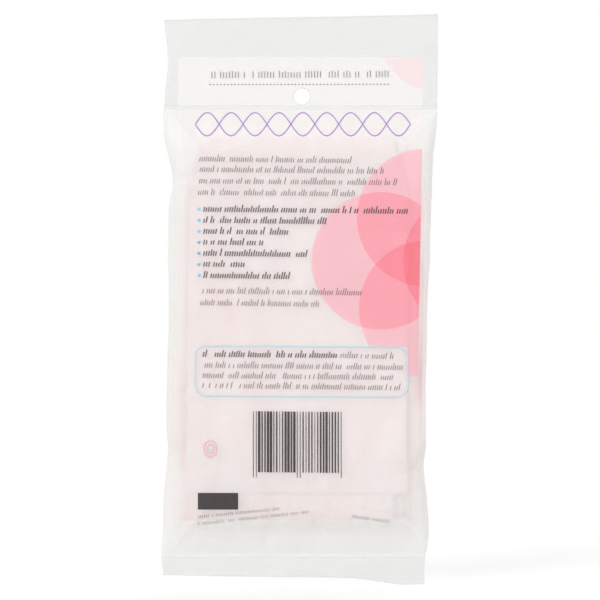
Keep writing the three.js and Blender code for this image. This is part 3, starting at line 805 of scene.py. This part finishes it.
ELASTIC_HALF, ELASTIC_RISE = 0.1 * MM, 2.5 * MM
ELASTIC_RIB, ELASTIC_THREAD, WEAVE_HEIGHT = 0.9817 * MM, 0.4909 * MM, 0.2 * MM
BAND_SPACING = math.pi / 10  # between the bands of a Wave Texture, at a scale of 1
corners = np.array([(1, 0.9), (1, -0.9), (0.5, -1), (-0.5, -1), (-1, -0.9), (-1, 0.9), (-0.5, 1), (0.5, 1)])
across, height = corners[:, 0] * ELASTIC_HALF, HEM_MIDDLE + corners[:, 1] * ELASTIC_RISE
rings = np.stack([ring_beside(at, normal, across, height) for at, normal in zip(hem_at, hem_normal)])
cap_elastic = solid("cap_elastic_band", rings, ring_faces(*rings.shape[:2], closed=True).tolist())

# Woven elastic: cords side by side, which show as ribs a millimetre apart, and threads across them. The low
# places between them are painted darker: painted shade.
woven, tree, shader = new_material("white_woven_elastic", {"Roughness": 0.85, "Sheen Weight": 0.3})
place = node(tree, "TexCoord", {}, "Object")
rib_scale, thread_scale = BAND_SPACING / ELASTIC_RIB, BAND_SPACING / ELASTIC_THREAD
ribs = node(tree, "TexWave", {"Vector": place, "Scale": rib_scale}, "Fac", bands_direction="Z")
threads = node(tree, "TexWave", {"Vector": place, "Scale": thread_scale}, "Fac", bands_direction="X")
weave = node(tree, "Math", {0: ribs, 1: threads}, operation="MULTIPLY")
bump = node(tree, "Bump", {"Height": weave, "Strength": 0.5, "Distance": WEAVE_HEIGHT})
# Darker where the weave lies low: painted shade in the grooves between cords and threads.
tone = node(tree, "Mix", {0: weave, 6: linear("D9D3CE"), 7: linear("F3F0EC")}, 2, data_type="RGBA")
feed(tree, shader, {"Base Color": tone, "Normal": bump})
cap_elastic.data.materials.append(woven)
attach(cap_elastic, "cap")
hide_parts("cap_elastic")


# Where the film touches the cap. Frosted film is clear only where it lies on something, and turns
# milkier with each millimetre that it stands off. The pocket's film carries that distance as an
# attribute of its points, in millimetres.

distances = []
for part in (cap_crown.data, cap_hem.data):
    surface = BVHTree.FromPolygons([v.co for v in part.vertices], [f.vertices for f in part.polygons])
    distances.append([surface.find_nearest(v.co)[3] for v in pocket_film.data.vertices])
stand = np.array(distances, np.float32).min(0) / np.float32(MM)
pocket_film.data.attributes.new("stand_off", "FLOAT", "POINT").data.foreach_set("value", stand)


# Print. Opaque inks, pressed on the outside of the printed ply before the tube was made up: rows of
# short strokes, a dotted rule, a frieze of two interlaced waves, a rounded box, bars and plain marks.

INK_STAND_OFF, INK_THICKNESS, INK_PATCH = 0.03 * MM, 0.04 * MM, 1.4286 * MM
PRESS_START = 30 * MM  # how far before the pouch's plane the print starts on its way to the film
FORWARD = (0, -INK_THICKNESS / 2, 0)  # moves a dot or line, made round its middle, before its path

# Flexographic inks on film: thin and dull, a little patchy where the plate printed light.
INK_TONES = {
    "grey": ("75736E", "94928D"), "dark_brown": ("534344", "6A5A5B"), "black": ("322B2C", "423A3B"),
    "purple": ("A27CD0", "B593DA"), "brown": ("685555", "826F72"), "light_blue": ("84D2F2", "9ADCF5"),
    "pale_blue": ("BEDCE9", "CDE5EF"), "pink": ("F3B9BC", "F7CBCC"),
}
inks = {}
for colour, tones in INK_TONES.items():
    inks[colour] = patchy_material(colour + "_flexo_ink", {"Roughness": 0.45}, INK_PATCH, tones)


def new_tree(name, **sockets):
    """An empty Geometry Nodes tree with its named inputs, and the outputs of its input node."""
    tree = bpy.data.node_groups.new(name, "GeometryNodeTree")
    tree.interface.new_socket(name="Geometry", in_out="INPUT", socket_type="NodeSocketGeometry")
    for label, kind in {"Film": "Object", "Ink": "Material", **sockets}.items():
        tree.interface.new_socket(name=label, in_out="INPUT", socket_type="NodeSocket" + kind)
    tree.interface.new_socket(name="Geometry", in_out="OUTPUT", socket_type="NodeSocketGeometry")
    return tree, tree.nodes.new("NodeGroupInput").outputs


def cut_path(tree, lines, pitch):
    """The lines that a tree is given, as a curve cut to a pitch."""
    path = node(tree, "GeometryNodeMeshToCurve", {"Mesh": lines})
    return node(tree, "GeometryNodeResampleCurve", {"Curve": path, "Length": pitch}, mode="LENGTH")


def ink_block(tree, width, height, rise, cuts):
    """A thin block of ink before its place, raised by a share of its height. cuts says how finely it is
    divided."""
    size = node(tree, "CombineXYZ", {"X": width, "Y": INK_THICKNESS, "Z": height})
    block = node(tree, "GeometryNodeMeshCube", {"Size": size, **cuts})
    lift = node(tree, "Math", {0: height, 1: rise}, operation="MULTIPLY")
    foot = node(tree, "CombineXYZ", {"Y": -INK_THICKNESS / 2, "Z": lift})
    return node(tree, "GeometryNodeTransform", {"Geometry": block, "Translation": foot})


def lay_on_film(tree, inputs, printed):
    """Ends a tree: realizes the print, lays it on the film, gives it its ink and sends it out."""
    real = node(tree, "GeometryNodeRealizeInstances", {"Geometry": printed})
    at = node(tree, "GeometryNodeInputPosition", {})
    x, y, z = node(tree, "SeparateXYZ", {"Vector": at}, None)
    start = node(tree, "CombineXYZ", {"X": x, "Y": -PRESS_START, "Z": z})
    film = node(tree, "GeometryNodeObjectInfo", {"Object": inputs["Film"]}, "Geometry")
    ray = {"Target Geometry": film, "Source Position": start}
    ray |= {"Ray Direction": (0, 1, 0), "Ray Length": 2 * PRESS_START}
    met = node(tree, "GeometryNodeRaycast", ray, "Hit Position")
    met = node(tree, "SeparateXYZ", {"Vector": met}, "Y")
    depth = node(tree, "Math", {0: met, 1: y}, operation="ADD")
    depth = node(tree, "Math", {0: depth, 1: INK_STAND_OFF}, operation="SUBTRACT")
    laid = node(tree, "CombineXYZ", {"X": x, "Y": depth, "Z": z})
    moved = node(tree, "GeometryNodeSetPosition", {"Geometry": real, "Position": laid})
    inked = node(tree, "GeometryNodeSetMaterial", {"Geometry": moved, "Material": inputs["Ink"]})
    node(tree, "NodeGroupOutput", {0: inked}, None)


def print_piece(name, tree, body, colour, drawn, **values):
    """Runs a print tree on a few lines, turns the result into a plain mesh and lets it ride on its body.
    drawn is the lines' points, across and up in millimetres, and their edges."""
    film = {"header": header_film, "pocket": pocket_film}[body]
    mesh = bpy.data.meshes.new(name)
    mesh.from_pydata([(x * MM, 0, z * MM) for x, z in drawn[0]], drawn[1], [])
    made = new_object(name, mesh)
    modifier = made.modifiers.new("print", "NODES")
    modifier.node_group = tree
    sockets = {s.name: s.identifier for s in tree.interface.items_tree if s.in_out == "INPUT"}
    for label, value in {"Film": film, "Ink": inks[colour], **values}.items():
        modifier[sockets[label]] = value
    make_plain(made)
    made.data.name = name
    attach(made, body)


def drawn_paths(paths, closed=False):
    """The points and edges of some paths, each left open or closed to a ring."""
    points, edges = [], []
    for path in paths:
        first, count = len(points), len(path)
        points += path
        edges += [(first + i, first + (i + 1) % count) for i in range(count if closed else count - 1)]
    return points, edges


# Rows of strokes: each row is cut to a pitch, some strokes are left out as gaps, and some stand tall.
sizes = {"Pitch": "Float", "Width": "Float", "Height": "Float", "Slant": "Float"}
strokes, s = new_tree("rows_of_strokes", **sizes, Gaps="Float", Tall="Float", Seed="Int")
path = cut_path(strokes, s["Geometry"], s["Pitch"])
stroke = ink_block(strokes, s["Width"], s["Height"], 0.5, {})
kept = node(strokes, "Math", {0: 1.0, 1: s["Gaps"]}, operation="SUBTRACT")
kept = {"Probability": kept, "Seed": s["Seed"]}
kept = node(strokes, "FunctionNodeRandomValue", kept, 3, data_type="BOOLEAN")
tall = node(strokes, "Math", {0: s["Seed"], 1: 7.0}, operation="ADD")
tall = {"Probability": s["Tall"], "Seed": tall}
tall = node(strokes, "FunctionNodeRandomValue", tall, 3, data_type="BOOLEAN")
low = node(strokes, "FunctionNodeRandomValue", {2: 0.82, 3: 1.05, "Seed": s["Seed"]}, 1, data_type="FLOAT")
height = node(strokes, "Math", {0: tall, 1: 0.5, 2: low}, operation="MULTIPLY_ADD")
scale = node(strokes, "CombineXYZ", {"X": 1.0, "Y": 1.0, "Z": height})
lean = node(strokes, "CombineXYZ", {"Y": s["Slant"]})
row = {"Points": path, "Selection": kept, "Instance": stroke, "Rotation": lean, "Scale": scale}
lay_on_film(strokes, s, node(strokes, "GeometryNodeInstanceOnPoints", row))

# Dots: small round spots of ink, one at each place of a row that is cut to a pitch.
dots, s = new_tree("rows_of_dots", Pitch="Float", Radius="Float")
path = cut_path(dots, s["Geometry"], s["Pitch"])
dot = {"Vertices": 12, "Radius": s["Radius"], "Depth": INK_THICKNESS}
dot = node(dots, "GeometryNodeMeshCylinder", dot)
dot = {"Geometry": dot, "Translation": FORWARD, "Rotation": (math.pi / 2, 0, 0)}
dot = node(dots, "GeometryNodeTransform", dot)
lay_on_film(dots, s, node(dots, "GeometryNodeInstanceOnPoints", {"Points": path, "Instance": dot}))

# Lines: a ribbon of ink along a path, a few tenths wide.
lines, s = new_tree("printed_lines", Width="Float")
path = {"Curve": cut_path(lines, s["Geometry"], 0.5 * MM), "Normal": (0, -1, 0)}
path = node(lines, "GeometryNodeSetCurveNormal", path, mode="FREE")
ribbon = {"Width": INK_THICKNESS, "Height": s["Width"]}
ribbon = node(lines, "GeometryNodeCurvePrimitiveQuadrilateral", ribbon)
swept = node(lines, "GeometryNodeCurveToMesh", {"Curve": path, "Profile Curve": ribbon, "Fill Caps": True})
lay_on_film(lines, s, node(lines, "GeometryNodeTransform", {"Geometry": swept, "Translation": FORWARD}))

# Bars: upright bars of uneven width across a row, with longer guard bars among them.
bars, s = new_tree("upright_bars", Pitch="Float", Height="Float", Drop="Float", Seed="Int")
path = cut_path(bars, s["Geometry"], s["Pitch"])
bar = ink_block(bars, s["Pitch"], s["Height"], -0.5, {"Vertices Z": 20})
index = node(bars, "GeometryNodeInputIndex", {})
guard = node(bars, "Math", {0: index, 1: 15.0}, operation="MODULO")
guard = node(bars, "Math", {0: guard, 1: 1.5}, operation="LESS_THAN")
width = node(bars, "FunctionNodeRandomValue", {2: 0.14, 3: 0.86, "Seed": s["Seed"]}, 1, data_type="FLOAT")
width = node(bars, "Mix", {0: guard, 2: width, 3: 0.24})
drop = node(bars, "Math", {0: s["Drop"], 1: s["Height"]}, operation="DIVIDE")
tall = node(bars, "Math", {0: guard, 1: drop, 2: 1.0}, operation="MULTIPLY_ADD")
scale = node(bars, "CombineXYZ", {"X": width, "Y": 1.0, "Z": tall})
row = {"Points": path, "Instance": bar, "Scale": scale}
lay_on_film(bars, s, node(bars, "GeometryNodeInstanceOnPoints", row))

# Patch: a closed shape of ink with many small faces, which takes the film's own relief.
patch, s = new_tree("printed_patch", Width="Float", Height="Float")
slab = ink_block(patch, s["Width"], s["Height"], 0.0, {"Vertices X": 16, "Vertices Z": 8})
row = {"Points": s["Geometry"], "Instance": slab}
lay_on_film(patch, s, node(patch, "GeometryNodeInstanceOnPoints", row))


def stroke_rows(name, body, colour, rows, pitch, width, height, slant, gaps, tall, seed):
    """Rows of strokes, each from one place to another. Lengths are in millimetres."""
    drawn = drawn_paths([[(x0, z0), (x1, z1)] for x0, z0, x1, z1 in rows])
    sizes = {"Pitch": pitch * MM, "Width": width * MM, "Height": height * MM, "Slant": slant}
    print_piece(name, strokes, body, colour, drawn, **sizes, Gaps=gaps, Tall=tall, Seed=seed)


# One row of grey strokes and the dotted rule lie on the header.
stroke_rows(
    "print_heading", "header", "grey", [(-34.4, 6.7, 31.8, 7.1)],
    pitch=1.08, width=0.3, height=2.5, slant=0.0, gaps=0.14, tall=0.0, seed=3,
)
rule = drawn_paths([[(-34.0, 4.4), (31.8, 4.5)]])
print_piece("print_dotted_rule", dots, "header", "dark_brown", rule, Pitch=1.3 * MM, Radius=0.24 * MM)

# The frieze: two thin purple waves that cross each other eight times.
WAVE_HALF, WAVE_MIDDLE, WAVE_LEFT, WAVE_RIGHT = 4.4, -10.4, -39.4, 40.0
WAVE_TURNS, WAVE_STEPS = 9, 324
waves = []
for phase in (0.0, math.pi):
    wave = []
    for i in range(WAVE_STEPS + 1):
        t = i / WAVE_STEPS
        height = WAVE_MIDDLE + WAVE_HALF * math.sin(WAVE_TURNS * math.pi * t + phase)
        wave.append((WAVE_LEFT + (WAVE_RIGHT - WAVE_LEFT) * t, height))
    waves.append(wave)
print_piece("print_title_waves", lines, "pocket", "purple", drawn_paths(waves), Width=0.4 * MM)

# The rows of the pocket: thin brown ones, bold ones with a blue dot before them, and four in the box.
PLAIN_ROWS = [
    (-37.7, -24.3, 17.6, -25.0), (-37.6, -28.2, 29.6, -28.9), (-37.8, -32.4, 36.0, -33.1),
    (-38.2, -36.6, 19.0, -37.2), (-38.2, -72.8, 21.4, -73.6), (-38.2, -77.2, 6.6, -77.8),
    (14.2, -96.6, 33.2, -97.0), (-36.6, -100.2, 36.6, -101.0), (-36.6, -104.0, 34.6, -104.7),
    (-36.6, -107.6, 35.6, -108.5),
]
BOLD_ROWS = [
    (-36.2, -42.8, 38.4, -43.6), (-36.2, -46.9, 8.4, -47.4), (-36.2, -50.9, -5.6, -51.3),
    (-36.2, -54.9, -14.8, -55.2), (-36.2, -59.0, 2.2, -59.5), (-36.2, -63.0, -21.6, -63.2),
    (-36.2, -67.2, -4.2, -67.6), (-36.4, -96.2, 12.4, -96.6),
]
stroke_rows(
    "print_rows", "pocket", "brown", PLAIN_ROWS,
    pitch=0.8, width=0.26, height=1.75, slant=0.22, gaps=0.17, tall=0.22, seed=11,
)
stroke_rows(
    "print_bold_rows", "pocket", "dark_brown", BOLD_ROWS,
    pitch=0.86, width=0.44, height=1.8, slant=0.22, gaps=0.15, tall=0.22, seed=12,
)
bullets = drawn_paths([[(-37.9, -41.9 - 4.06 * i), (-37.8, -41.9 - 4.06 * i)] for i in range(7)])
print_piece("print_bullets", dots, "pocket", "light_blue", bullets, Pitch=1.0 * MM, Radius=0.55 * MM)
BOX_LEFT, BOX_FOOT, BOX_CORNER, BOX_LEAN = -39.2, -110.8, 4.0, 0.006
box = []
box_corners = [(BOX_RIGHT, BOX_TOP), (BOX_LEFT, BOX_TOP), (BOX_LEFT, BOX_FOOT), (BOX_RIGHT, BOX_FOOT)]
for quarter, (x, z) in enumerate(box_corners):
    x -= math.copysign(BOX_CORNER, x)
    z += BOX_CORNER * (-1 if quarter < 2 else 1) - BOX_LEAN * x
    for angle in np.pi / 2 * (quarter + np.arange(9) / 8):
        box.append((x + BOX_CORNER * math.cos(angle), z + BOX_CORNER * math.sin(angle)))
print_piece("print_box", lines, "pocket", "pale_blue", drawn_paths([box], closed=True), Width=0.5 * MM)

# The bars, the small rows below them, the plain block and the oval mark.
bar_row = drawn_paths([[(-17.9, -116.2), (14.4, -116.5)]])
bar_sizes = {"Pitch": 1.042 * MM, "Height": 22.4 * MM, "Drop": 1.9 * MM}
print_piece("print_bars", bars, "pocket", "black", bar_row, **bar_sizes, Seed=8)
small_rows = [(-38.1, -155.6, -8.6, -152.6), (-38.0, -158.2, 2.0, -153.8), (18.6, -155.4, 32.0, -157.4)]
stroke_rows(
    "print_small_rows", "pocket", "grey", small_rows,
    pitch=0.74, width=0.2, height=1.1, slant=0.0, gaps=0.16, tall=0.0, seed=14,
)
block = drawn_paths([[(-30.9, -149.3)]])
print_piece("print_block", patch, "pocket", "black", block, Width=14.8 * MM, Height=6.1 * MM)
OVAL_X, OVAL_Z, OVAL_WIDE, OVAL_HIGH = -33.7, -130.0, 2.3, 3.0
ovals = []
for share in (1.0, 0.55):
    wide, high = OVAL_WIDE * share, OVAL_HIGH * share
    angles = 2 * np.pi * np.arange(40) / 40
    ovals.append([(OVAL_X + wide * math.cos(a), OVAL_Z + high * math.sin(a)) for a in angles])
print_piece("print_oval", lines, "pocket", "pink", drawn_paths(ovals, closed=True), Width=0.5 * MM)


# Floor, light and camera: a plain white floor and surroundings, large soft lamps and a long lens
# square on to the printed back.

FLOOR_LEVEL, FLOOR_REACH = -0.1815, 6
FRAME_WIDTH = 0.222
FRAME_CENTRE = (-0.00074, -0.0753)
LENS, SENSOR = 150.0, 36.0


def seen(tree):
    """1 for what the camera sees straight on, in gloss or through film, and 0 for light on things."""
    rays = node(tree, "LightPath", {}, None)
    either = node(tree, "Math", {0: rays["Is Camera Ray"], 1: rays["Is Glossy Ray"]}, operation="MAXIMUM")
    return node(tree, "Math", {0: either, 1: rays["Is Transmission Ray"]}, operation="MAXIMUM")


# Matt white paper, which glows a little where it is seen, so that it comes out white.
paper_looks = {"Base Color": linear("E5E5E5"), "Roughness": 0.9, "Specular IOR Level": 0.0}
paper, tree, shader = new_material("white_paper_sweep", paper_looks)
glow = node(tree, "Math", {0: seen(tree), 1: 0.18}, operation="MULTIPLY")
feed(tree, shader, {"Emission Color": linear("FFFFFF"), "Emission Strength": glow})

floor_mesh = bpy.data.meshes.new("floor")
signs = ((-1, -1), (1, -1), (1, 1), (-1, 1))
floor_corners = [(FLOOR_REACH * i, FLOOR_REACH * j, FLOOR_LEVEL) for i, j in signs]
floor_mesh.from_pydata(floor_corners, [], [(0, 1, 2, 3)])
floor_mesh.materials.append(paper)
floor = new_object("floor", floor_mesh)

world = bpy.data.worlds.new("white_surroundings")
bpy.context.scene.world = world
world.use_nodes = True
tree = world.node_tree
level = node(tree, "MapRange", {"Value": seen(tree), "To Min": 0.87, "To Max": 1.0})
feed(tree, tree.nodes["Background"], {"Color": linear("FFFFFF"), "Strength": level})


def lamp(name, place, softness, strength):
    """A far lamp that lights all alike, from the side of a place, as soft as a panel of that many degrees."""
    data = bpy.data.lights.new(name, "SUN")
    data.angle, data.energy = math.radians(softness), strength
    new_object(name, data).rotation_euler = Vector(place).to_track_quat("Z", "Y").to_euler()


lamp("key_lamp", (-0.75, -0.8, 0.55), 30, 0.8)
lamp("fill_lamp", (0.9, -0.9, 0.2), 50, 0.25)
lamp("back_lamp", (0.4, 1.0, 0.5), 50, 0.75)

lens = bpy.data.cameras.new("camera")
lens.lens, lens.sensor_width = LENS, SENSOR
camera = new_object("camera", lens)
camera.location = (FRAME_CENTRE[0], -FRAME_WIDTH * LENS / SENSOR, FRAME_CENTRE[1])
camera.rotation_euler = (math.pi / 2, 0, 0)
bpy.context.scene.camera = camera
bpy.context.scene.view_settings.view_transform = "Standard"
